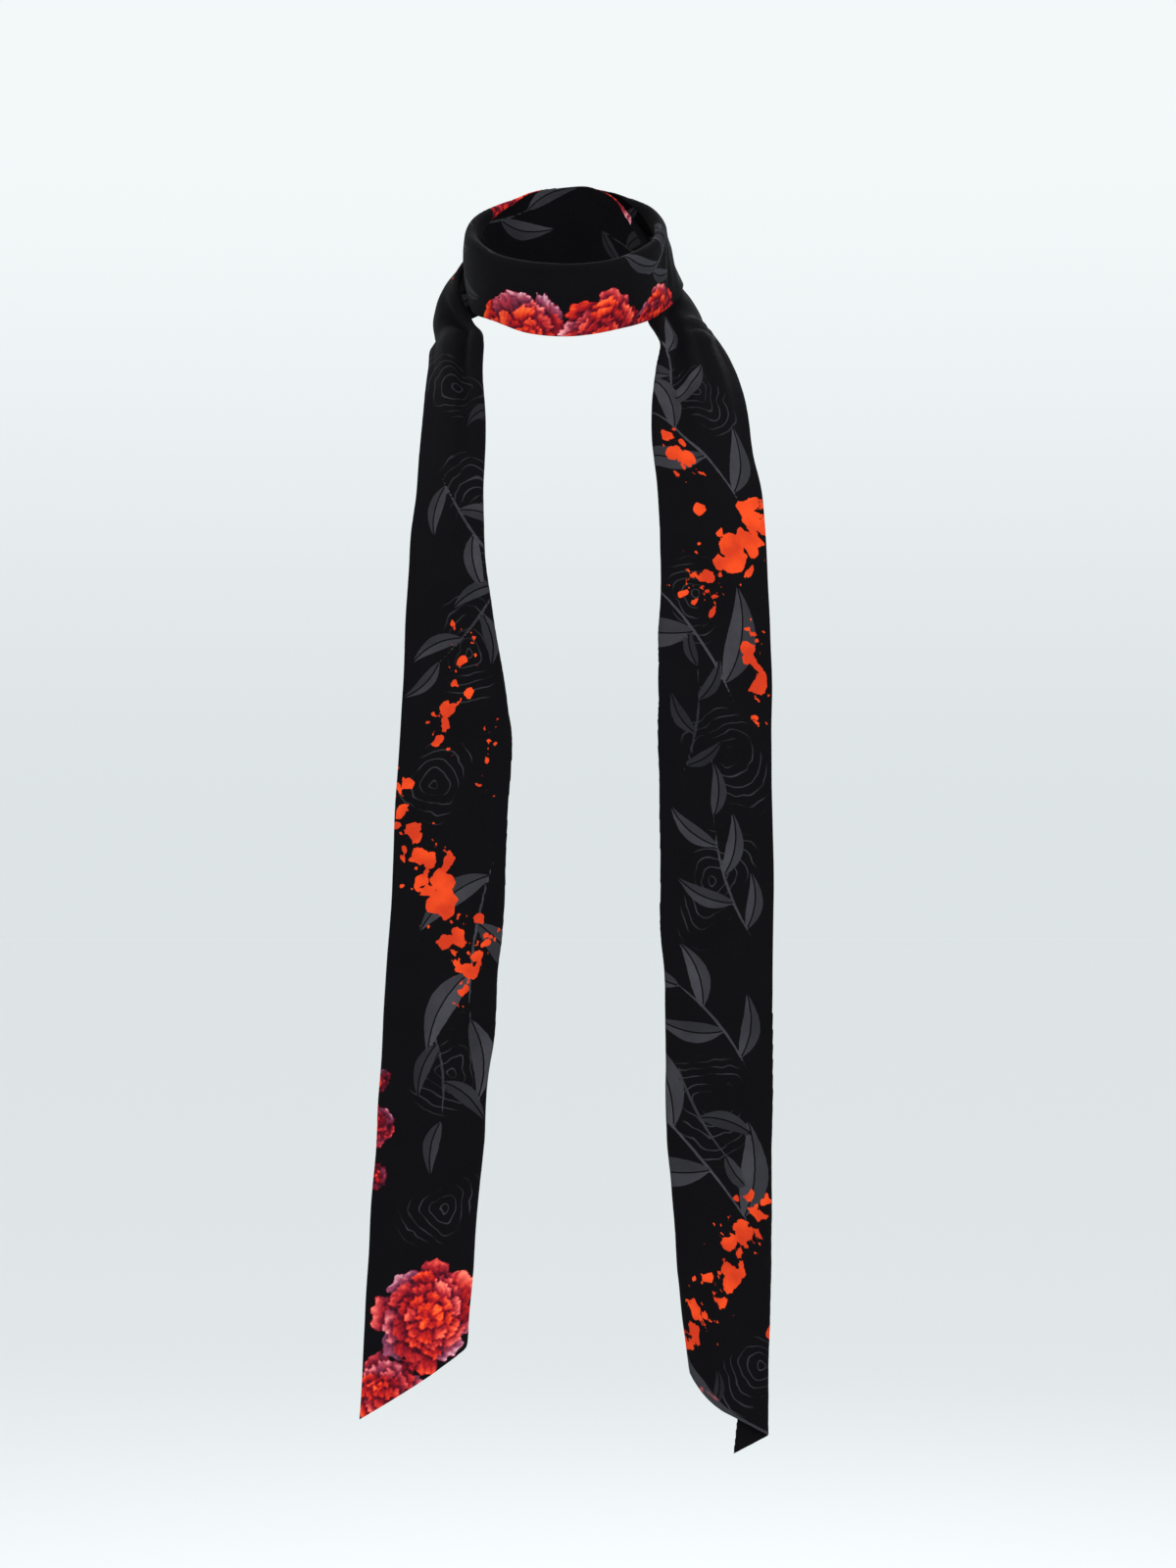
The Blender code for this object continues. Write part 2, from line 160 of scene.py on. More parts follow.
LEFT_TAIL = [
    Hung(-94, 36, -49, -79, 8, -17, 6.5, 4.0, 0.0, 2.4),
    Hung(-94, 21, -53, -68, -4, -39, 6.0, 6.5, 0.0, 2.5),
    Hung(-95, 7, -56, -60, -17, -48, 7.0, 8.0, 0.0, 2.8),
    Hung(-97.5, -8, -63, -59, -33, -55, 6.5, 8.0, 0.0, 3.2),
    Hung(-97.5, -24, -75, -59, -50, -75, 7.0, 7.0, 0.0, 3.0),
    Hung(-99, -48, -108, -56, -68, -108, 5.0, 3.0, 0.0, 3.0),
    Hung(-102, -68, -148, -56, -84, -149, 4.0, 1.0, 0.0, 3.0),
    Hung(-104, -82, -180, -56, -94, -180, 4.0, 0.0, 0.0, 3.0),
    Hung(-107, -93, -211, -55, -100, -212, 4.0, 0.0, 0.0, 3.0),
    Hung(-109, -99, -258, -49, -104, -262, 3.0, 0.0, 0.0, 3.0),
    Hung(-111, -102, -306, -41, -106, -306, 2.0, 0.0, 0.0, 3.0),
    Hung(-113, -102, -339, -38, -106, -339, 2.0, 0.0, 0.0, 3.0),
    Hung(-116, -102, -386, -39, -105, -386, 2.0, 0.0, 0.0, 3.0),
    Hung(-118, -103, -439, -42, -105, -439, 1.5, 0.0, 0.0, 3.0),
    Hung(-122, -103, -493, -46, -105, -496, 1.5, 0.0, 0.0, 3.0),
    Hung(-128.5, -103, -606, -55.5, -103, -606, 4.0, 0.0, 0.0, 3.0),
    Hung(-134, -103, -690, -62, -99, -690, 7.0, 0.0, 0.0, 3.0),
    Hung(-140.5, -103, -805, -69.5, -93, -805, 8.0, 0.0, 0.0, 3.0),
]

STRETCHES = [RIGHT_TAIL, CROSS_UNDER, NECK_LOOP, CROSS_OVER, LEFT_TAIL]


# The strip's form


def on_neck(turn, radius, height):
    """A place turned round the neck's leaning axis from the front, and raised along it."""
    sideways = radius * math.sin(math.radians(turn))
    backwards = -radius * math.cos(math.radians(turn))
    return (
        sideways,
        backwards * math.cos(NECK_LEAN) - height * math.sin(NECK_LEAN),
        backwards * math.sin(NECK_LEAN) + height * math.cos(NECK_LEAN),
    )


def as_row(place):
    """One row of ten numbers from either kind of place, in the order of Hung."""
    if isinstance(place, Hung):
        return tuple(place)
    low = on_neck(place.turn, place.low_radius, place.low)
    top = on_neck(place.turn, place.top_radius, place.top)
    return (*low, *top, place.belly, 0.0, 0.0, place.fold)


def smooth_between(at, rows, wanted):
    """Rows read from a smooth curve through the given ones, at the wanted distances."""
    slopes = np.gradient(rows, at, axis=0)
    spot = np.clip(np.searchsorted(at, wanted, side="right") - 1, 0, len(at) - 2)
    span = (at[spot + 1] - at[spot])[:, None]
    x = (wanted - at[spot])[:, None] / span
    start, end = rows[spot], rows[spot + 1]
    rise, fall = slopes[spot] * span, slopes[spot + 1] * span
    return (
        start * (1 + 2 * x) * (1 - x) ** 2
        + rise * x * (1 - x) ** 2
        + end * x * x * (3 - 2 * x)
        - fall * x * x * (1 - x)
    )


def lengths_along(points):
    """The distance from the first point of a line to each of its points."""
    steps = np.linalg.norm(np.diff(points, axis=0), axis=1)
    return np.concatenate([[0.0], np.cumsum(steps)])


def curl(start, heading, length, radius):
    """Points of a border that turns behind the face: round the fold, then straight back along the chord."""
    count = max(int(length / FINE_ACROSS), 0)
    run = np.arange(1, count + 1) * FINE_ACROSS
    headings = np.maximum(heading - run / radius, -math.pi)
    steps = FINE_ACROSS * np.stack([np.cos(headings), np.sin(headings)], axis=1)
    return np.asarray(start) + np.cumsum(steps, axis=0)


def face_line(chord, belly, groove):
    """The face's own cross-section: along the chord from the outer border, and outwards from it."""
    share = np.linspace(0.0, 1.0, FACE_STEPS + 1)
    swell = 4 * belly * share * (1 - share)
    dip = groove * np.exp(-(((share - GROOVE_AT) / GROOVE_SPREAD) ** 2))
    return np.stack([share * chord, swell - dip], axis=1)


def set_back(length, radius):
    """How far a fold's start lies inside its crown; a narrow turned edge stands out less than a whole one."""
    return radius * min(length / (radius * math.pi / 2), 1.0)


def section(chord, belly, groove, turned, fold):
    """The strip's cross-section in equal steps of its width."""
    whole = face_line(chord, belly, groove)
    left_over = max(WIDTH - lengths_along(whole)[-1] - turned, 0.0)
    before, after = set_back(turned, fold), set_back(left_over, fold)
    face = face_line(chord - before - after, belly, groove) + (before, 0.0)
    left_over = max(WIDTH - lengths_along(face)[-1] - turned, 0.0)
    rise, dip = face[-1] - face[-2], face[0] - face[1]
    inner = curl(face[-1], math.atan2(rise[1], rise[0]), left_over, fold)
    outer = curl((-face[0][0], face[0][1]), math.atan2(dip[1], -dip[0]), turned, fold)
    line = np.concatenate([(outer * (-1, 1))[::-1], face, inner])
    along = lengths_along(line)
    even = np.linspace(0.0, along[-1], round(WIDTH / FINE_ACROSS) + 1)
    return np.stack([np.interp(even, along, places) for places in line.T], axis=1)


def unit(vectors):
    return vectors / np.linalg.norm(vectors, axis=-1, keepdims=True)


def soft_step(value, low, high):
    """0 below low, 1 above high, and a smooth rise between them."""
    share = np.clip((value - low) / (high - low), 0.0, 1.0)
    return share * share * (3 - 2 * share)


def drift(at, spacing, seed):
    """A smooth uneven line between -1 and 1, that changes over about the spacing."""
    count = int(at.max() / spacing) + 4
    knots = np.random.default_rng(seed).uniform(-1.0, 1.0, count)
    place = at / spacing
    spot = place.astype(int)
    share = soft_step(place - spot, 0.0, 1.0)
    return knots[spot] * (1 - share) + knots[spot + 1] * share


def cloud(along, across, kind):
    """A smooth uneven field between -1 and 1 over the strip, with a kind's spacing and seed."""
    shape = (int(along.max() / kind.long_step) + 4, int(across.max() / kind.wide_step) + 4)
    knots = np.random.default_rng(kind.seed).uniform(-1.0, 1.0, shape)
    a, b = along / kind.long_step, across / kind.wide_step
    i, j = a.astype(int), b.astype(int)
    s, t = soft_step(a - i, 0.0, 1.0), soft_step(b - j, 0.0, 1.0)
    low = knots[i, j] * (1 - t) + knots[i, j + 1] * t
    high = knots[i + 1, j] * (1 - t) + knots[i + 1, j + 1] * t
    return low * (1 - s) + high * s


# The shoulders' distances along the strip, how far from each the tail is loose, and how rumpled the cloth is
# where it is held tight between them, as a share of the loose tails
RIGHT = 800.0
LEFT = 1570.0
LOOSE_AFTER = 90.0
HELD_TIGHT = 0.12

# How the tails' borders stray from their smooth curves: by how much, over about what distance, and the seed;
# for the outer border across the strip and outwards, and then for the inner border
Stray = namedtuple("Stray", "size spacing seed")
STRAYS = [Stray(0.5, 33.0, 3), Stray(1.1, 47.0, 4), Stray(0.9, 41.0, 5), Stray(1.1, 38.0, 6)]

# How uneven the cloth is: by how much, over about what distance along and across, and the seed. Flutter and
# pucker fade inwards from the borders over their reach, and waves stay a little where the cloth is tight.
Uneven = namedtuple("Uneven", "size long_step wide_step seed")
FLUTTER = Uneven(0.45, 23.0, 40.0, 7)
PUCKER = Uneven(0.09, 4.2, 9.0, 8)
WAVES = Uneven(0.45, 55.0, 15.0, 9)
CRINKLE = Uneven(0.10, 16.0, 7.0, 10)
FLUTTER_REACH = 6.0
PUCKER_REACH = 3.0
LEAST_WAVES = 0.10

# The inner border reads its flutter and pucker this much further along, so that the two borders differ
BORDERS_APART = 500.0

# Creases that are laid one by one, in the strip's own distances: where each starts and ends, how high it
# stands (less than nothing for a trough) and how wide it is
Crease = namedtuple("Crease", "along across to_along to_across rise spread")

# A crease rises and dies out between these shares of its length, and wanders by a share of its width along a
# wave that turns so far, in radians
CREASE_RISES = (-0.05, 0.3)
CREASE_DIES = (0.65, 1.05)
CREASE_WANDER = 0.35
CREASE_WAVE = 5.0

CREASES = [
    # Gathers down from the right shoulder
    Crease(RIGHT - 150, 14, RIGHT + 20, 20, 1.5, 4.5),
    Crease(RIGHT - 110, 27, RIGHT + 25, 30, -1.3, 3.5),
    Crease(RIGHT - 205, 40, RIGHT + 10, 37, 1.2, 4.0),
    Crease(RIGHT - 60, 6, RIGHT + 40, 10, -0.9, 3.0),
    # The buckle across the right shoulder
    Crease(RIGHT - 2, 2, RIGHT - 8, 34, -2.4, 3.2),
    Crease(RIGHT + 9, 0, RIGHT + 2, 38, 1.7, 4.5),
    Crease(RIGHT - 14, 3, RIGHT - 20, 26, 1.0, 4.0),
    # Long shallow waves down the right tail
    Crease(560, 20, 700, 30, 1.0, 8.0),
    Crease(430, 52, 610, 46, -0.9, 7.0),
    Crease(300, 24, 500, 34, 0.9, 9.0),
    Crease(190, 50, 330, 56, 1.0, 7.0),
    Crease(90, 40, 240, 44, -0.8, 8.0),
    Crease(70, 60, 140, 52, 0.9, 6.0),
    # The wound band: pulled slanting at its right front, and lightly rumpled elsewhere
    Crease(1262, 8, 1300, 52, -1.3, 3.2),
    Crease(1250, 4, 1284, 48, 0.9, 4.0),
    Crease(1278, 2, 1316, 40, 0.8, 4.0),
    Crease(1296, 6, 1340, 44, -0.8, 4.5),
    Crease(1118, 40, 1240, 47, -0.5, 3.5),
    Crease(1100, 14, 1180, 24, 0.5, 5.0),
    Crease(1060, 30, 1130, 20, -0.6, 4.0),
    Crease(1150, 30, 1262, 22, -0.35, 4.5),
    # Gathers down from the left shoulder
    Crease(LEFT - 40, 16, LEFT + 110, 20, 1.3, 4.5),
    Crease(LEFT + 26, 30, LEFT + 170, 33, -1.2, 4.0),
    Crease(LEFT - 10, 8, LEFT + 70, 9, -0.9, 3.0),
    Crease(LEFT - 20, 42, LEFT + 200, 46, 1.2, 4.5),
    # Long shallow waves down the left tail
    Crease(1690, 24, 1850, 30, 1.0, 8.0),
    Crease(1760, 50, 1960, 40, -0.9, 8.0),
    Crease(1850, 60, 1990, 52, 1.1, 6.0),
    Crease(1930, 20, 2120, 32, 0.9, 9.0),
    Crease(2060, 55, 2220, 48, -0.8, 8.0),
    Crease(2160, 16, 2330, 30, 0.8, 9.0),
    # Behind the neck
    Crease(905, 12, 975, 50, 0.7, 5.0),
    Crease(1400, 20, 1470, 34, 0.8, 5.0),
    Crease(1440, 52, 1535, 44, -0.8, 5.0),
    Crease(1480, 14, 1560, 10, 0.9, 5.0),
]


def creased(along, across):
    """How far the creases lift the cloth, at places on the strip."""
    lift = np.zeros_like(along)
    for number, crease in enumerate(CREASES):
        run = np.array([crease.to_along - crease.along, crease.to_across - crease.across])
        length = np.linalg.norm(run)
        run = run / length
        du, dv = along - crease.along, across - crease.across
        forward = (du * run[0] + dv * run[1]) / length
        wander = CREASE_WANDER * crease.spread * np.sin(forward * CREASE_WAVE + number)
        sideways = (dv * run[0] - du * run[1] + wander) / crease.spread
        taper = soft_step(forward, *CREASE_RISES) * (1 - soft_step(forward, *CREASE_DIES))
        lift += crease.rise * taper * np.exp(-sideways**2)
    return lift


class Strip:
    """The strip's middle surface and its outward direction, by distance along it and across it."""

    def __init__(self):
        rows = np.array([as_row(place) for stretch in STRETCHES for place in stretch], float)
        at = lengths_along((rows[:, 0:3] + rows[:, 3:6]) / 2)
        self.length = at[-1]
        after_cut = len(RIGHT_TAIL) + len(CROSS_UNDER)
        self.cut = (at[after_cut - 1] + at[after_cut]) / 2
        wanted = np.linspace(0.0, self.length, round(self.length / FINE_ALONG) + 1)
        fine = smooth_between(at, rows, wanted)
        outer, inner = fine[:, 0:3].copy(), fine[:, 3:6].copy()
        ahead = np.gradient((outer + inner) / 2, axis=0)
        across = unit(inner - outer)
        outwards = unit(np.cross(ahead, across))
        loose = self.looseness(wanted)[:, None]
        ways = [(border, way) for border in (outer, inner) for way in (across, outwards)]
        for (border, way), stray in zip(ways, STRAYS):
            border += way * loose * stray.size * drift(wanted, stray.spacing, stray.seed)[:, None]
        chords = np.linalg.norm(inner - outer, axis=1)
        across = unit(inner - outer)
        outwards = unit(np.cross(ahead, across))
        columns = round(WIDTH / FINE_ACROSS) + 1
        self.surface = np.empty((len(wanted), columns, 3))
        for i, (chord, shape) in enumerate(zip(chords, fine[:, 6:10].clip(LEAST_SHAPE))):
            flat = section(chord, *shape)
            self.surface[i] = outer[i] + flat[:, :1] * across[i] + flat[:, 1:] * outwards[i]
        self.point_outwards()
        places = np.meshgrid(wanted, np.linspace(0.0, WIDTH, columns), indexing="ij")
        self.surface += self.normals * self.rumples(*places)[..., None]
        self.point_outwards()

    def point_outwards(self):
        self.normals = unit(np.cross(*np.gradient(self.surface, axis=(0, 1))))

    def looseness(self, along):
        """1 on the hanging tails, and little where the strip is held tight round the neck."""
        right = 1 - soft_step(along, RIGHT - LOOSE_AFTER, RIGHT)
        left = soft_step(along, LEFT, LEFT + LOOSE_AFTER)
        return HELD_TIGHT + (1 - HELD_TIGHT) * (right + left)

    def rumples(self, along, across):
        """How far the cloth stands off its smooth form: creases, unevenness and a flutter at the borders."""
        loose = self.looseness(along)
        border = np.minimum(across, WIDTH - across)
        along_border = along + np.where(across < WIDTH / 2, 0.0, BORDERS_APART)
        flutter = cloud(along_border, border, FLUTTER) * np.exp(-border / FLUTTER_REACH)
        pucker = cloud(along_border, border, PUCKER) * np.exp(-border / PUCKER_REACH)
        return (
            creased(along, across)
            + FLUTTER.size * loose * flutter
            + PUCKER.size * pucker
            + (LEAST_WAVES + WAVES.size * loose) * cloud(along, across, WAVES)
            + CRINKLE.size * cloud(along, across, CRINKLE)
        )

    def read(self, grid, along, across):
        """Values of a grid between its points."""
        rows, columns = grid.shape[0] - 1, grid.shape[1] - 1
        a = np.clip(along / self.length * rows, 0, rows - 1e-6)
        b = np.clip(across / WIDTH * columns, 0, columns - 1e-6)
        i, j = a.astype(int), b.astype(int)
        s, t = (a - i)[..., None], (b - j)[..., None]
        low = grid[i, j] * (1 - t) + grid[i, j + 1] * t
        high = grid[i + 1, j] * (1 - t) + grid[i + 1, j + 1] * t
        return low * (1 - s) + high * s


def slanted_end(across, end):
    """How far short of its point a tail ends, for each distance across: a slant with one corner rounded."""
    past = np.clip((across - (WIDTH - end.reach)) / end.reach, 0, 1)
    return end.slant * across / WIDTH + end.rise * (1 - np.sqrt(1 - past**2))


def from_end(along, across, end):
    """The distance from a tail's sewn end, square to its slant."""
    return (along - slanted_end(across, end)) * WIDTH / math.hypot(WIDTH, end.slant)


def half_thickness(edge):
    """Half the cloth's thickness by distance from its edge: rounded there, fuller over the allowance."""
    rounded = np.sqrt(1 - (1 - np.clip(edge / EDGE_ROUND, 0, 1)) ** 2)
    past_allowance = soft_step(edge, ALLOWANCE_WIDTH - ALLOWANCE_STEP, ALLOWANCE_WIDTH)
    return rounded * (HALF_PLY + ALLOWANCE * (1 - past_allowance))


# The print, a generic one: sprigs of leaves, ringed ripples, bursts of drops and round blossoms, placed by
# the strip's own distances. The backing ply wears it turned end for end and moved along. Headings are in
# degrees from along the strip towards its inner border.
Sprig = namedtuple("Sprig", "along across heading length bend leaves leaf_length leaf_width tone")
Burst = namedtuple("Burst", "along across heading length wide drops largest seed")
Blossom = namedtuple("Blossom", "along across radius petals turn seed")
Ripple = namedtuple("Ripple", "along across radius spacing squash")

# How far along the backing's print is moved, and what the fields hold where no motif is near
BACKING_SHIFT = 570.0
OUT_OF_REACH = -40.0

# How the print's drawn lines waver, along the strip and across it: widely, and finely on top
WAVERS_ALONG = Uneven(2.2, 13.0, 13.0, 61), Uneven(1.0, 5.0, 5.0, 62)
WAVERS_ACROSS = Uneven(2.2, 13.0, 13.0, 63), Uneven(1.0, 5.0, 5.0, 64)

SPRIGS = [
    # Right tail, from its foot
    Sprig(28, 58, 22, 90, 0.25, 5, 26, 7, 0.2),
    Sprig(150, 18, 26, 150, 0.24, 4, 66, 19, 1.0),
    Sprig(270, 66, 192, 90, 0.28, 3, 38, 11, 0.5),
    Sprig(264, 18, 26, 86, 0.25, 4, 44, 13, 0.85),
    Sprig(352, 14, 34, 100, -0.3, 5, 40, 11, 0.8),
    Sprig(462, 62, -24, 90, 0.3, 4, 30, 9, 0.3),
    Sprig(512, 26, 22, 120, 0.22, 3, 66, 20, 1.0),
    Sprig(648, 16, 24, 120, 0.28, 4, 52, 15, 0.95),
    Sprig(722, 62, -14, 90, 0.3, 4, 42, 13, 0.9),
    Sprig(846, 50, -12, 110, 0.2, 5, 32, 9, 0.4),
    # The band round the neck
    Sprig(985, 30, 8, 110, -0.2, 5, 34, 10, 0.5),
    Sprig(1098, 64, -6, 60, 0.2, 3, 22, 6, 0.2),
    Sprig(1216, 52, 6, 80, 0.3, 4, 38, 11, 0.95),
    Sprig(1240, 34, 4, 60, 0.3, 3, 28, 9, 1.0),
    Sprig(1300, 22, 16, 100, -0.25, 4, 40, 12, 0.7),
    Sprig(1410, 52, -8, 110, -0.25, 5, 34, 10, 0.5),
    # Left tail, from its shoulder
    Sprig(1640, 64, -18, 90, 0.22, 3, 32, 9, 0.25),
    Sprig(1712, 20, 24, 100, 0.24, 5, 38, 11, 0.85),
    Sprig(1778, 66, -20, 90, -0.24, 4, 36, 10, 0.6),
    Sprig(1975, 70, -18, 130, 0.24, 4, 60, 17, 0.95),
    Sprig(2092, 34, 24, 80, -0.3, 3, 38, 11, 0.5),
]

BURSTS = [
    # Right tail, from its foot
    Burst(66, 10, 10, 46, 16, 34, 8.0, 20),
    Burst(128, 42, -32, 120, 34, 110, 11.0, 21),
    Burst(536, 10, 4, 80, 16, 46, 9.5, 24),
    Burst(618, 26, -38, 96, 40, 100, 11.5, 25),
    Burst(688, 56, 20, 44, 20, 34, 7.5, 26),
    # The band and both shoulders
    Burst(1292, 66, 10, 40, 10, 14, 2.6, 27),
    Burst(1330, 40, 0, 60, 24, 26, 5.0, 28),
    Burst(1512, 50, 0, 26, 12, 12, 2.8, 29),
    # Left tail, from its shoulder
    Burst(1858, 34, -12, 96, 24, 60, 8.5, 31),
    Burst(1906, 62, 0, 60, 16, 34, 4.6, 32),
    Burst(1936, 4, 4, 54, 12, 24, 7.0, 35),
    Burst(2004, 36, 26, 110, 40, 120, 11.5, 33),
    Burst(2050, 58, -20, 64, 18, 40, 7.0, 34),
]

BLOSSOMS = [
    Blossom(1150, -4, 36, 7, 0.3, 41),
    Blossom(1204, -2, 31, 7, 1.1, 42),
    Blossom(1250, 2, 20, 6, 0.4, 49),
    Blossom(2338, 16, 26, 7, 1.7, 50),
    Blossom(2288, 44, 38, 8, 0.6, 43),
    Blossom(2160, -2, 14, 6, 0.2, 45),
    Blossom(2192, 1, 9, 6, 1.4, 46),
    Blossom(2128, 1, 8, 6, 0.9, 51),
    Blossom(930, 80, 24, 7, 0.9, 47),
    Blossom(1006, 83, 25, 6, 1.2, 52),
    Blossom(1436, 84, 26, 7, 0.4, 48),
]

RIPPLES = [
    Ripple(60, 26, 40, 6.0, 1.0),
    Ripple(240, 44, 40, 6.0, 0.8),
    Ripple(392, 40, 46, 6.5, 1.2),
    Ripple(478, 30, 40, 6.0, 0.9),
    Ripple(586, 52, 34, 5.5, 1.0),
    Ripple(735, 40, 38, 6.0, 1.1),
    Ripple(1060, 36, 34, 6.0, 1.1),
    Ripple(1290, 50, 28, 5.5, 1.0),
    Ripple(1640, 28, 40, 6.0, 0.8),
    Ripple(1735, 48, 44, 6.0, 0.9),
    Ripple(1836, 44, 42, 6.5, 1.2),
    Ripple(1925, 26, 36, 6.0, 0.9),
    Ripple(2120, 50, 40, 6.5, 1.1),
    Ripple(2215, 50, 36, 6.0, 1.0),
]


def nearby(along, place, reach):
    """The numbers of the places whose distance along the strip is within reach of one."""
    return np.flatnonzero(abs(along - place) < reach)


# A sprig's stem: its width, and how much it turns over its whole length as a share of its bend
STEM_WIDTH = 1.8
STEM_TURN = 2.2

# Its leaves: how far they lean out from the stem, in degrees, how much that varies, how much each one bends,
# how full it is near its foot, how grey its darker half is, and a distance from the rib where there is none
LEAF_LEAN = 34
LEAN_VARIES = 10
LEAF_BEND = 0.22
LEAF_FULLNESS = 0.75
DARKER_HALF = 0.62
NO_RIB = 5.0


def leaves_of(sprig):
    """The stem and leaves of a sprig: where each starts, which way it points, its length, width and bend."""
    heading = math.radians(sprig.heading)
    bow = heading + STEM_TURN / 2 * sprig.bend
    yield sprig.along, sprig.across, bow, sprig.length, STEM_WIDTH, -STEM_TURN / 4 * sprig.bend
    for number in range(sprig.leaves):
        share = (number + 0.4) / sprig.leaves
        turn = heading + sprig.bend * STEM_TURN * share
        bow = heading + sprig.bend * (STEM_TURN / 2) * share
        run = share * sprig.length
        side = 1 if number % 2 else -1
        last = number == sprig.leaves - 1
        lean = 0.0 if last else side * math.radians(LEAF_LEAN + LEAN_VARIES * math.sin(number * 2.3))
        grown = 0.75 + 0.35 * math.sin(math.pi * (0.2 + 0.7 * share))
        yield (
            sprig.along + run * math.cos(bow),
            sprig.across + run * math.sin(bow),
            turn + lean,
            sprig.leaf_length * grown,
            sprig.leaf_width * grown,
            side * LEAF_BEND,
        )


def leaf_fields(along, across):
    """How far inside a leaf each place lies, how grey that leaf is, and the distance from its rib."""
    inside = np.full(along.shape, OUT_OF_REACH)
    tone, rib = np.zeros(along.shape), np.full(along.shape, NO_RIB)
    for sprig in SPRIGS:
        for number, (a, c, turn, length, width, bend) in enumerate(leaves_of(sprig)):
            spot = nearby(along, a, length + 8)
            du, dv = along[spot] - a, across[spot] - c
            u = (du * math.cos(turn) + dv * math.sin(turn)) / length
            v = dv * math.cos(turn) - du * math.sin(turn)
            inner = np.clip(u, 0.0, 1.0)
            v = v - bend * length * inner * (1 - inner) * 2
            half = width / 2 * np.sin(math.pi * inner**LEAF_FULLNESS)
            depth = np.where((u > 0) & (u < 1), half - abs(v), -np.hypot((u - inner) * length, v))
            best = depth > inside[spot]
            chosen = spot[best]
            inside[chosen] = depth[best]
            lit_side = np.where(v[best] > 0, 1.0, DARKER_HALF)
            tone[chosen] = sprig.tone * (0.82 + 0.18 * math.cos(number * 1.9)) * lit_side
            rib[chosen] = v[best] if number else NO_RIB
    return inside, tone, rib


# A burst's drops: how far they stray from its line; their least size and what is added, as shares of the
# largest; how rare large ones are; how slender they are; how far they turn; and how much they narrow in front
DROP_STRAY = 0.5
DROP_SIZES = (0.07, 0.93)
DROP_RARITY = 4.5
DROP_SLENDER = (0.4, 0.95)
DROP_TURN = 0.8
DROP_NARROWED = 0.35


def burst_field(along, across):
    """How far inside a drop each place lies. A burst's drops lie about a line, and few of them are large."""
    least, added = DROP_SIZES
    inside = np.full(along.shape, OUT_OF_REACH)
    for burst in BURSTS:
        random = np.random.default_rng(burst.seed)
        heading = math.radians(burst.heading)
        for number in range(burst.drops):
            run, off = random.uniform(-1.0, 1.0), random.normal(0.0, DROP_STRAY)
            du, dv = run * burst.length / 2, off * burst.wide / 2
            a = burst.along + du * math.cos(heading) - dv * math.sin(heading)
            c = burst.across + du * math.sin(heading) + dv * math.cos(heading)
            faded = 1 - 0.5 * abs(run) - 0.3 * min(abs(off), 1.0)
            size = burst.largest * (least + added * random.random() ** DROP_RARITY * faded)
            slender = random.uniform(*DROP_SLENDER)
            turn = heading + random.uniform(-DROP_TURN, DROP_TURN)
            spot = nearby(along, a, size * 2 + 8)
            du, dv = along[spot] - a, across[spot] - c
            u = du * math.cos(turn) + dv * math.sin(turn)
            v = (dv * math.cos(turn) - du * math.sin(turn)) / slender
            narrowed = 1 + DROP_NARROWED * np.clip(u / size, -1.5, 1.5)
            inside[spot] = np.maximum(inside[spot], (size - np.hypot(u, v * narrowed)) * slender)
    return inside


# The rings of petals in a blossom, from the outer one: its share of the radius, how far it is turned, in
# petals, and how pale its palest petals are
PETAL_RINGS = ((1.0, 0.0, 1.0), (0.82, 0.5, 0.7), (0.62, 0.22, 0.3), (0.42, 0.7, 0.1), (0.24, 0.4, 0.0))

# A petal: how much its reach varies, how bright it may be, its ruffle's depth, its number of streaks, how far
# in it darkens as a share of the radius, and how far its shadow falls outwards
PETAL_REACH = 0.10
PETAL_TONES = (0.55, 1.15)
PETAL_RUFFLE = 0.03
PETAL_STREAKS = 5
PETAL_DEPTH = 0.26
PETAL_SHADOW = 2.5


def blossom_fields(along, across):
    """How far inside a blossom each place lies, and how bright and how pale its petal is there."""
    inside = np.full(along.shape, OUT_OF_REACH)
    bright, pale = np.zeros(along.shape), np.zeros(along.shape)
    for flower in BLOSSOMS:
        random = np.random.default_rng(flower.seed)
        spot = nearby(along, flower.along, flower.radius + 12)
        du, dv = along[spot] - flower.along, across[spot] - flower.across
        away, angle = np.hypot(du, dv), np.arctan2(dv, du)
        shade, paleness = bright[spot], pale[spot]
        for share, shift, ring_pale in PETAL_RINGS:
            reach = random.uniform(-PETAL_REACH, PETAL_REACH, flower.petals)
            tones = random.uniform(*PETAL_TONES, flower.petals)
            tints = ring_pale * random.uniform(0.0, 1.0, flower.petals) ** 3
            phase = (angle + flower.turn) * flower.petals / math.tau + shift
            phase = phase + 0.2 * np.sin(away / flower.radius * 6 + flower.seed)
            petal = np.floor(phase).astype(int) % flower.petals
            off_middle = abs(phase - np.floor(phase) - 0.5) * 2
            ruffle = PETAL_RUFFLE * np.sin(phase * math.tau * 3 + flower.seed)
            edge = flower.radius * share * (0.82 + 0.18 * (1 - off_middle**3) + ruffle + reach[petal])
            depth = edge - away
            if share == 1.0:
                inside[spot] = np.maximum(inside[spot], depth)
            shaded, lit = depth <= 0, depth > 0
            shade[shaded] *= 1 - 0.8 * np.exp(depth[shaded] / PETAL_SHADOW)
            inwards = np.clip(depth / (flower.radius * PETAL_DEPTH), 0, 1)
            between = 1 - 0.7 * off_middle**5
            streaked = 1 + 0.16 * np.sin(phase * math.tau * PETAL_STREAKS + tones[petal] * 9)
            shade[lit] = (tones[petal] * between * streaked * (1.0 - 0.5 * inwards))[lit]
            paleness[lit] = (tints[petal] * (1 - 0.7 * inwards))[lit]
        bright[spot], pale[spot] = shade, paleness
    return inside, bright, pale


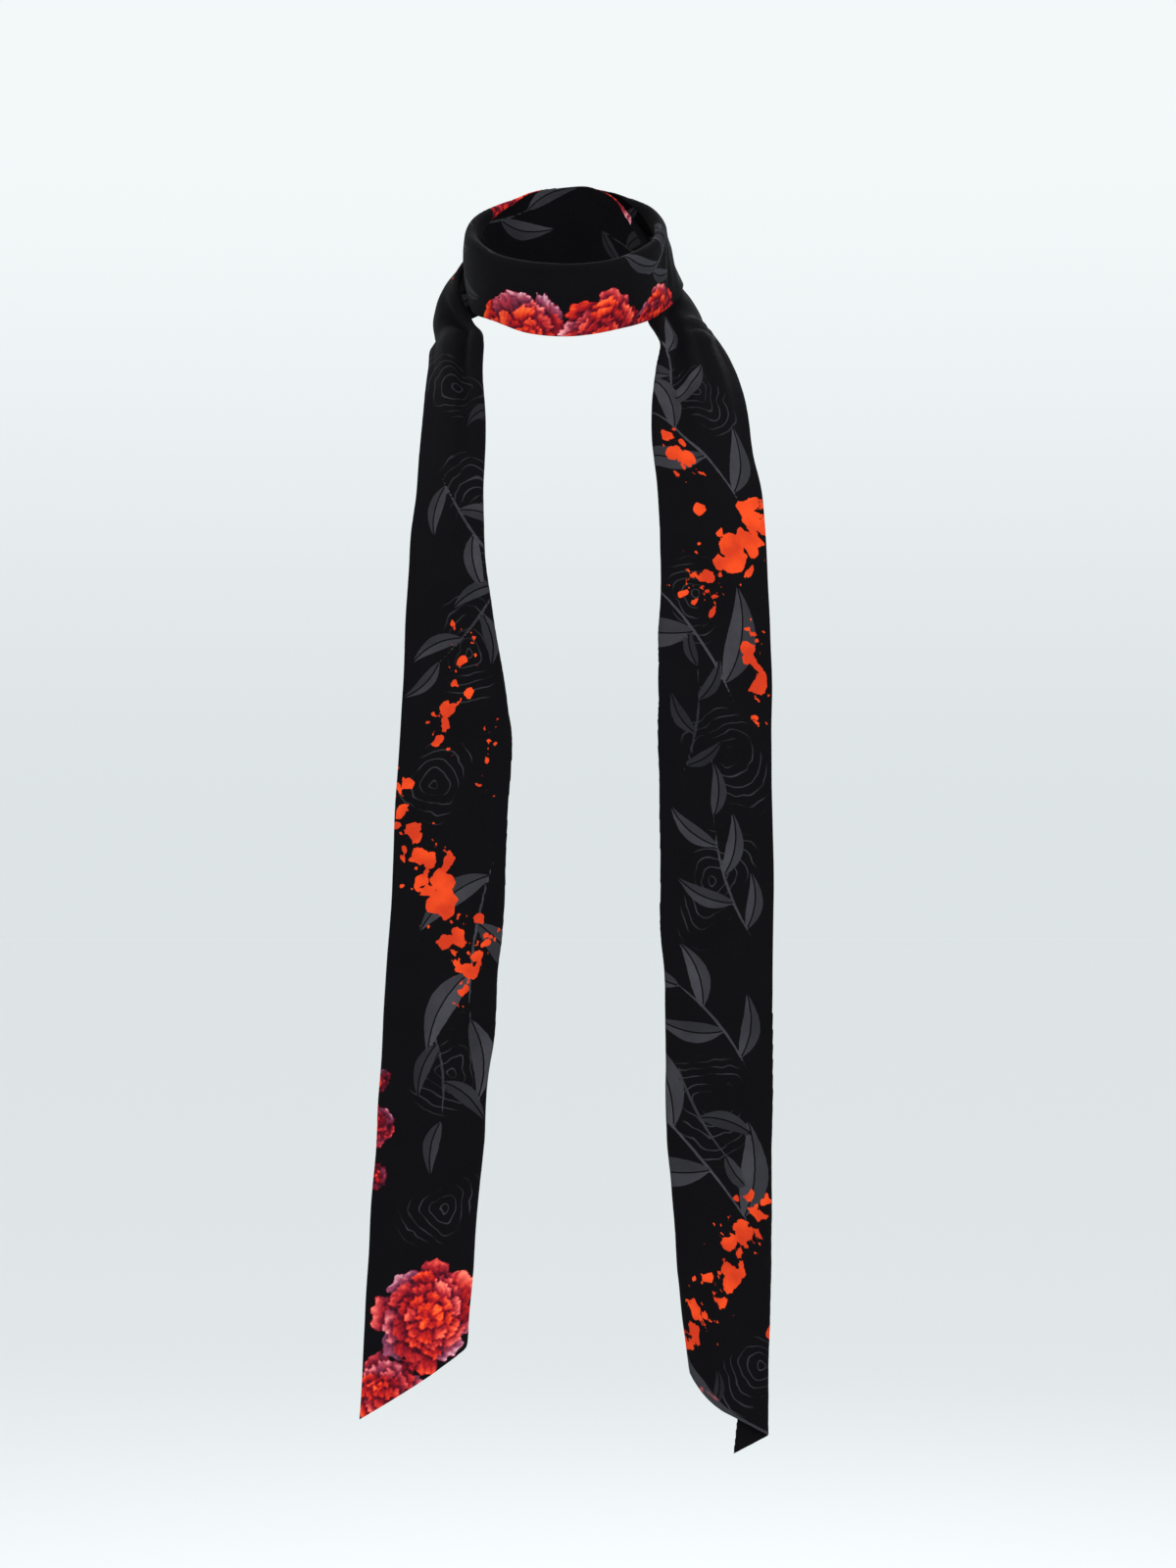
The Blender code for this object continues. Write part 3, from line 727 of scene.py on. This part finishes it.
def ripple_fields(along, across):
    """The count of rings out from a ripple's middle, and how far inside the ripple each place lies."""
    rings, inside = np.zeros(along.shape), np.full(along.shape, OUT_OF_REACH)
    for ripple in RIPPLES:
        spot = nearby(along, ripple.along, ripple.radius + 12)
        du, dv = along[spot] - ripple.along, (across[spot] - ripple.across) * ripple.squash
        angle = np.arctan2(dv, du)
        away = np.hypot(du, dv) * (1 + 0.12 * np.sin(3 * angle + ripple.along))
        depth = ripple.radius * (0.72 + 0.28 * np.sin(2 * angle + ripple.along)) - away
        best = depth > inside[spot]
        chosen = spot[best]
        inside[chosen] = depth[best]
        rings[chosen] = (away / ripple.spacing)[best]
    return rings, inside


def print_fields(along, across):
    """Every field of the print, by the name of the attribute that carries it."""
    wavering = []
    for straight, wavers in ((along, WAVERS_ALONG), (across, WAVERS_ACROSS)):
        wide, fine = (waver.size * cloud(along, across, waver) for waver in wavers)
        wavering.append(straight + wide + fine)
    leaf, leaf_tone, leaf_rib = leaf_fields(along, across)
    bloom, petal_bright, petal_pale = blossom_fields(*wavering)
    rings, ripple = ripple_fields(*wavering)
    return {
        "leaf": leaf,
        "leaf_tone": leaf_tone,
        "leaf_rib": leaf_rib,
        "burst": burst_field(*wavering),
        "bloom": bloom,
        "petal_bright": petal_bright,
        "petal_pale": petal_pale,
        "rings": rings,
        "ripple": ripple,
    }


# The cloth's mesh


# The whole strip: its length, its mesh's places along and across, and the places and directions of both plies
Cloth = namedtuple("Cloth", "length along across plies normals")


def mesh_places(strip):
    """The mesh's places on the strip, row by row from the right tail's foot, and the row where it is cut."""
    border = np.array(BORDER_STEPS)
    middle = np.linspace(border[-1], WIDTH - border[-1], MIDDLE_COLUMNS + 1)[1:-1]
    across = np.concatenate([border, middle, WIDTH - border[::-1]])
    foot = slanted_end(across, RIGHT_END) + border[:, None]
    far_foot = strip.length - slanted_end(across, LEFT_END) - border[::-1, None]
    share = np.linspace(0.0, 1.0, ROWS + 1)[1:, None]
    right = foot[-1] * (1 - share) + strip.cut * share
    left = strip.cut * (1 - share) + far_foot[0] * share
    along = np.concatenate([foot, right, left[:-1], far_foot])
    return along, np.broadcast_to(across, along.shape), len(foot) + ROWS - 1


def two_plies(strip, along, across):
    """The places of the outer ply and of the backing ply."""
    right_end = from_end(along, across, RIGHT_END)
    left_end = from_end(strip.length - along, across, LEFT_END)
    side = np.minimum(across, WIDTH - across)
    edge = np.minimum(np.minimum(right_end, left_end), side).clip(0)
    middle = strip.read(strip.surface, along, across)
    outwards = unit(strip.read(strip.normals, along, across))
    lift = outwards * half_thickness(edge)[..., None]
    return middle + lift, middle - lift


def shell_numbers(shape, sewn_first, sewn_last):
    """The vertex numbers of both plies, which share their borders and the end row where it is sewn."""
    outer = np.arange(shape[0] * shape[1]).reshape(shape)
    inner = outer.copy()
    own = np.ones(shape, bool)
    own[:, [0, -1]] = False
    own[0] &= not sewn_first
    own[-1] &= not sewn_last
    inner[own] = outer.size + np.arange(own.sum())
    return outer, inner, own


def at_corners(grid):
    """What a grid of one ply's places holds at the four corners of each of its faces."""
    return np.stack([grid[:-1, :-1], grid[1:, :-1], grid[1:, 1:], grid[:-1, 1:]], axis=2)


def ply_faces(outer, inner):
    """The faces of both plies as vertex numbers, each ply's turned outwards."""
    return np.concatenate([at_corners(outer).reshape(-1, 4), at_corners(inner)[..., ::-1].reshape(-1, 4)])


def at_vertices(plies, own):
    """What both plies hold at every vertex of the shell."""
    return np.concatenate([plies[0].reshape(-1, 3), plies[1][own]])


# The strip's own map counts in units of this many millimetres. The one place on both maps for the cut behind
# the neck never shows.
MAP_UNIT = 100.0
CUT_CORNER = 0.998


def bake_corners(rows, columns, backing):
    """Places on a square map for a ply's face corners: three runs side by side, with both plies in each."""
    runs = 3
    i, j = np.meshgrid(np.arange(rows - 1), np.arange(columns - 1), indexing="ij")
    per_run = math.ceil((rows - 1) / runs)
    run = i // per_run
    margin = 0.012
    corners = []
    for di, dj in ((0, 0), (1, 0), (1, 1), (0, 1)):
        round_it = (j + dj) / (columns - 1) / 2
        round_it = 1 - round_it if backing else round_it
        u = (run + margin * 2 + (1 - 4 * margin) * round_it) / runs
        v = margin + (1 - 3 * margin) * (i + di - run * per_run) / per_run
        corners.append(np.stack([u, v], axis=-1))
    return np.stack(corners, axis=2)


def strip_corners(along, across, backing):
    """The strip's own distances at a ply's face corners, with the backing's beside the outer ply's."""
    shift = 1.0 if backing else 0.0
    return at_corners(np.stack([along / MAP_UNIT, across / MAP_UNIT + shift], axis=-1))


def lay_maps(mesh, along, across, rim):
    """The strip's own map, which its weave is laid by, and a square one with its own place for every face."""
    strip_map = [strip_corners(along, across, False), strip_corners(along, across, True)[:, :, ::-1]]
    bake_map = [bake_corners(*along.shape, False), bake_corners(*along.shape, True)[:, :, ::-1]]
    for label, maps in (("Strip", strip_map), ("OFBake", bake_map)):
        corners = [corners.reshape(-1, 2) for corners in maps] + [np.full((rim, 2), CUT_CORNER)]
        layer = mesh.uv_layers.new(name=label)
        layer.uv.foreach_set("vector", np.concatenate(corners).astype(np.float32).ravel())


def add_object(name, data):
    """A new object in the scene."""
    thing = bpy.data.objects.new(name, data)
    bpy.context.scene.collection.objects.link(thing)
    return thing


def set_field(mesh, name, values):
    """One number at each vertex, under a name that the material reads."""
    field = mesh.attributes.new(name, "FLOAT", "POINT")
    field.data.foreach_set("value", values.astype(np.float32))


def lay_print(mesh, length, along, across, own):
    """The print on both plies, and how far each place lies past the roll at the right tail's foot."""
    shown = print_fields(along.ravel(), across.ravel())
    turned = print_fields((length - BACKING_SHIFT - along[own]) % length, across[own])
    for name in shown:
        set_field(mesh, name, np.concatenate([shown[name], turned[name]]))
    rolled = np.interp(across, ROLLED_AT, ROLLED_WIDTHS)
    past_roll = from_end(along, across + rolled, RIGHT_END)
    set_field(mesh, "past_roll", np.concatenate([past_roll.ravel(), np.full(own.sum(), -OUT_OF_REACH)]))


def make_half(name, cloth, rows, material):
    """One half of the strip as a closed shell of two plies, from the given rows of the whole."""
    along, across = cloth.along[rows], cloth.across[rows]
    sewn_first, sewn_last = rows.start == 0, rows.stop is None
    outer, inner, own = shell_numbers(along.shape, sewn_first, sewn_last)
    cut = -1 if sewn_first else 0
    rim = np.concatenate([outer[cut], inner[cut][-2:0:-1]])
    rim = rim[::-1] if sewn_first else rim

    mesh = bpy.data.meshes.new(name)
    points = at_vertices([ply[rows] for ply in cloth.plies], own) * MM
    mesh.from_pydata(points, [], ply_faces(outer, inner).tolist() + [rim.tolist()])
    lay_maps(mesh, along, across, len(rim))
    lay_print(mesh, cloth.length, along, across, own)
    mesh.materials.append(material)
    mesh.shade_smooth()
    directions = at_vertices([ply[rows] for ply in cloth.normals], own)
    mesh.normals_split_custom_set_from_vertices(directions.tolist())
    return add_object(name, mesh)


def ply_normals(plies):
    """Smooth directions at every place of both plies, from the whole strip's mesh before it is cut in two."""
    outer, inner, own = shell_numbers(plies[0].shape[:2], True, True)
    points = at_vertices(plies, own)
    whole = bpy.data.meshes.new("whole_strip")
    whole.from_pydata(points, [], ply_faces(outer, inner).tolist())
    directions = np.empty(len(points) * 3, np.float32)
    whole.vertex_normals.foreach_get("vector", directions)
    directions = directions.reshape(-1, 3)
    bpy.data.meshes.remove(whole)
    return directions[outer], directions[inner]


# The cloth's material


class Nodes:
    """Short ways to add nodes to a material or a world. Sizes and spacings are in millimetres."""

    def __init__(self, owner):
        owner.use_nodes = True
        self.tree = owner.node_tree

    def join(self, source, socket):
        if isinstance(source, bpy.types.NodeSocket):
            self.tree.links.new(source, socket)
        elif isinstance(source, tuple):
            socket.default_value = (*source, 1.0)
        else:
            socket.default_value = source

    def fill(self, node, inputs):
        for socket, source in inputs.items():
            self.join(source, node.inputs[socket])

    def add(self, kind, inputs, **settings):
        """A new node with its settings, and the values or sources of its inputs."""
        node = self.tree.nodes.new("ShaderNode" + kind)
        for name, setting in settings.items():
            setattr(node, name, setting)
        self.fill(node, inputs)
        return node

    def math(self, operation, first, second=0.0, clamp=False):
        return self.add("Math", {0: first, 1: second}, operation=operation, use_clamp=clamp).outputs[0]

    def field(self, name):
        return self.add("Attribute", {}, attribute_name=name).outputs["Fac"]

    def places(self):
        return self.add("UVMap", {}, uv_map="Strip").outputs["UV"]

    def noise(self, where, size, detail=2.0, rough=0.5):
        """Noise between 0 and 1 whose lumps are about the given size."""
        inputs = {"Vector": where, "Scale": MAP_UNIT / size, "Detail": detail, "Roughness": rough}
        return self.add("TexNoise", inputs, noise_dimensions="2D").outputs["Fac"]

    def threads(self, where, spacing, direction):
        inputs = {"Vector": where, "Scale": MAP_UNIT / spacing / math.tau * 2}
        inputs |= {"Distortion": 1.5, "Detail": 1.0, "Detail Scale": 1.0}
        return self.add("TexWave", inputs, bands_direction=direction).outputs["Fac"]

    def between(self, value, low, high):
        """0 at low and 1 at high, with a smooth rise."""
        inputs = {"Value": value, "From Min": low, "From Max": high}
        return self.add("MapRange", inputs, interpolation_type="SMOOTHSTEP").outputs["Result"]

    def mix(self, share, first, second):
        return self.add("Mix", {"Factor": share, "A": first, "B": second}, data_type="RGBA").outputs["Result"]

    def shades(self, value, stops):
        node = self.add("ValToRGB", {"Fac": value})
        ramp = node.color_ramp
        while len(ramp.elements) < len(stops):
            ramp.elements.new(0.5)
        for element, (place, colour) in zip(ramp.elements, stops):
            element.position = place
            element.color = (*colour, 1.0)
        return node.outputs["Color"]


BLACK_GROUND = (0.0010, 0.0008, 0.0014)
WORN_GROUND = (0.0030, 0.0026, 0.0040)
DARK_LEAF = (0.007, 0.007, 0.009)
PALE_LEAF = (0.045, 0.044, 0.052)
RIPPLE_GREY = (0.024, 0.024, 0.028)
SCARLET = (0.690, 0.056, 0.010)
DEEP_SCARLET = (0.470, 0.030, 0.008)
BACKING_GREY = (0.028, 0.027, 0.032)
BACKING_PINK = (0.190, 0.050, 0.060)
PETAL_SHADES = [
    (0.0, (0.012, 0.001, 0.003)),
    (0.25, (0.110, 0.002, 0.009)),
    (0.5, (0.380, 0.009, 0.010)),
    (0.78, (0.700, 0.040, 0.010)),
    (1.0, (0.840, 0.110, 0.024)),
]
LILAC_SHADES = [
    (0.0, (0.030, 0.006, 0.022)),
    (0.5, (0.230, 0.070, 0.140)),
    (1.0, (0.760, 0.580, 0.680)),
]

# How ragged the print's edges are, and how softly they are drawn
LEAF_RAGGED = 0.6
BURST_RAGGED = 2.4
BLOOM_RAGGED = 4.0
CLEAN_EDGE = (-0.12, 0.12)
SOFT_EDGE = (-0.2, 0.4)
ROLLED_EDGE = (0.3, -0.3)
RIPPLE_LINE = (0.04, 0.09)

# The sizes of the crepe's mottling, its grain, its blots and its crinkles, and the spacings of its threads
MOTTLE = 26.0
GRAIN = 1.1
BLOT = 5.0
CREPE_CRINKLE = 1.6
WARP, WEFT = 0.62, 0.55

# How matt the crepe is, and its faint sheen
MATT = {"Roughness": 0.78, "Specular IOR Level": 0.06, "Sheen Weight": 0.008, "Sheen Roughness": 0.45}


def printed_crepe():
    """Matt black crepe with the print on it."""
    crepe = bpy.data.materials.new("printed_crepe")
    n = Nodes(crepe)
    where = n.places()
    mottle = n.noise(where, MOTTLE, 3.0)
    grain = n.noise(where, GRAIN, 2.0)
    blot = n.noise(where, BLOT, 4.0, 0.6)
    off_blot = n.math("SUBTRACT", blot, 0.5)

    ground = n.mix(n.math("MULTIPLY", mottle, grain), BLACK_GROUND, WORN_GROUND)

    from_line = n.math("ABSOLUTE", n.math("SUBTRACT", n.math("FRACT", n.field("rings")), 0.5))
    line = n.math("SUBTRACT", 1.0, n.between(from_line, *RIPPLE_LINE))
    line = n.math("MULTIPLY", line, n.between(n.field("ripple"), 0.0, 6.0))
    cloth = n.mix(n.math("MULTIPLY", line, n.between(mottle, 0.35, 0.6)), ground, RIPPLE_GREY)

    leaf_edge = n.math("ADD", n.field("leaf"), n.math("MULTIPLY", off_blot, LEAF_RAGGED))
    tone = n.math("MULTIPLY", n.field("leaf_tone"), n.math("ADD", 0.45, mottle), True)
    rib = n.between(n.math("ABSOLUTE", n.field("leaf_rib")), 0.35, 0.7)
    leaf_grey = n.mix(rib, BLACK_GROUND, n.mix(tone, DARK_LEAF, PALE_LEAF))
    cloth = n.mix(n.between(leaf_edge, *CLEAN_EDGE), cloth, leaf_grey)

    burst_edge = n.math("ADD", n.field("burst"), n.math("MULTIPLY", off_blot, BURST_RAGGED))
    scarlet = n.mix(n.between(mottle, 0.3, 0.7), DEEP_SCARLET, SCARLET)
    cloth = n.mix(n.between(burst_edge, *CLEAN_EDGE), cloth, scarlet)

    bloom_edge = n.math("ADD", n.field("bloom"), n.math("MULTIPLY", off_blot, BLOOM_RAGGED))
    bright = n.math("ADD", n.field("petal_bright"), n.math("MULTIPLY", off_blot, 0.7))
    petals = n.mix(n.field("petal_pale"), n.shades(bright, PETAL_SHADES), n.shades(bright, LILAC_SHADES))
    cloth = n.mix(n.between(bloom_edge, *SOFT_EDGE), cloth, petals)

    rolled = n.math("ADD", n.field("past_roll"), off_blot)
    backing = n.mix(n.between(n.noise(where, 18.0), 0.67, 0.70), BACKING_GREY, BACKING_PINK)
    cloth = n.mix(n.between(rolled, *ROLLED_EDGE), cloth, backing)

    weave = n.math("ADD", n.threads(where, WARP, "X"), n.threads(where, WEFT, "Y"))
    crinkle = n.noise(where, CREPE_CRINKLE, 3.0, 0.6)
    height = n.math("ADD", n.math("MULTIPLY", weave, 0.35), crinkle)
    bump = n.add("Bump", {"Strength": 0.35, "Distance": 0.0006, "Height": height})
    surface = {"Base Color": cloth, "Normal": bump.outputs["Normal"], **MATT}
    n.fill(n.tree.nodes["Principled BSDF"], surface)
    return crepe


# The studio


FLOOR_HEIGHT = -1.45
FLOOR_SIDE = 60.0
FLOOR_COLOUR = (0.80, 0.815, 0.82)
HORIZON = (0.730, 0.776, 0.791)
SKY = (0.90, 0.94, 0.95)
SKY_RISE = 0.22
PHOTO_FOCAL_LENGTH = 74.25
PHOTO_EYE = (0.0154, -2.310, -0.406)
PHOTO_PITCH = math.atan(50 / 3300)


def make_floor():
    far = FLOOR_SIDE / 2
    corners = [(x, y, FLOOR_HEIGHT) for x, y in ((-far, -far), (far, -far), (far, far), (-far, far))]
    mesh = bpy.data.meshes.new("floor")
    mesh.from_pydata(corners, [], [(0, 1, 2, 3)])
    material = bpy.data.materials.new("pale_floor")
    n = Nodes(material)
    n.fill(n.tree.nodes["Principled BSDF"], {"Base Color": FLOOR_COLOUR, "Roughness": 0.9})
    mesh.materials.append(material)
    add_object("floor", mesh)


# Square soft lights that face the stole's middle
Light = namedtuple("Light", "name place side power colour")
LIGHTS = [
    Light("key_light", (-1.3, -2.3, 1.1), 1.4, 42.0, (1.0, 0.98, 0.95)),
    Light("fill_light", (1.9, -1.7, 0.2), 1.6, 26.0, (0.95, 0.98, 1.0)),
    Light("back_light", (0.3, 2.2, 1.2), 1.6, 24.0, (1.0, 1.0, 1.0)),
]
LIT_MIDDLE = (0.0, -0.05, -0.35)


def make_light(light):
    lamp = bpy.data.lights.new(light.name, "AREA")
    lamp.shape = "SQUARE"
    lamp.size = light.side
    lamp.energy = light.power
    lamp.color = light.colour
    stand = add_object(light.name, lamp)
    stand.location = light.place
    x, y, z = np.subtract(LIT_MIDDLE, light.place)
    stand.rotation_euler = (math.atan2(math.hypot(x, y), -z), 0.0, math.atan2(-x, y))


def make_world():
    """A pale sky that is dimmer towards the horizon, where it meets the floor."""
    world = bpy.data.worlds.new("pale_studio")
    n = Nodes(world)
    direction = n.add("TexCoord", {}).outputs["Generated"]
    upwards = n.add("SeparateXYZ", {"Vector": direction}).outputs["Z"]
    sky = n.mix(n.between(upwards, 0.0, SKY_RISE), HORIZON, SKY)
    n.fill(n.tree.nodes["Background"], {"Color": sky})
    bpy.context.scene.world = world


def make_camera():
    lens = bpy.data.cameras.new("photo_camera")
    lens.sensor_fit = "VERTICAL"
    lens.sensor_height = 36.0
    lens.lens = PHOTO_FOCAL_LENGTH
    lens.clip_start = 0.01
    lens.clip_end = 200.0
    camera = add_object("photo_camera", lens)
    camera.location = PHOTO_EYE
    camera.rotation_euler = (math.pi / 2 + PHOTO_PITCH, 0.0, 0.0)
    bpy.context.scene.camera = camera


def make_studio():
    make_camera()
    make_world()
    make_floor()
    for light in LIGHTS:
        make_light(light)
    bpy.context.scene.view_settings.view_transform = "Standard"


def make_stole():
    """The strip in two halves, which meet behind the neck."""
    strip = Strip()
    along, across, cut_row = mesh_places(strip)
    plies = two_plies(strip, along, across)
    cloth = Cloth(strip.length, along, across, plies, ply_normals(plies))
    crepe = printed_crepe()

    right = make_half("stole_right", cloth, slice(0, cut_row + 1), crepe)
    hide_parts("tail_right", "cross_under")
    left = make_half("stole_left", cloth, slice(cut_row, None), crepe)
    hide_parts("neck_loop", "cross_over", "tail_left")

    for half, length, end, rests_on in (
        (right, strip.cut * MM, RIGHT_END, []),
        (left, (strip.length - strip.cut) * MM, LEFT_END, ["stole_right"]),
    ):
        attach(half, "root")


make_studio()
make_stole()
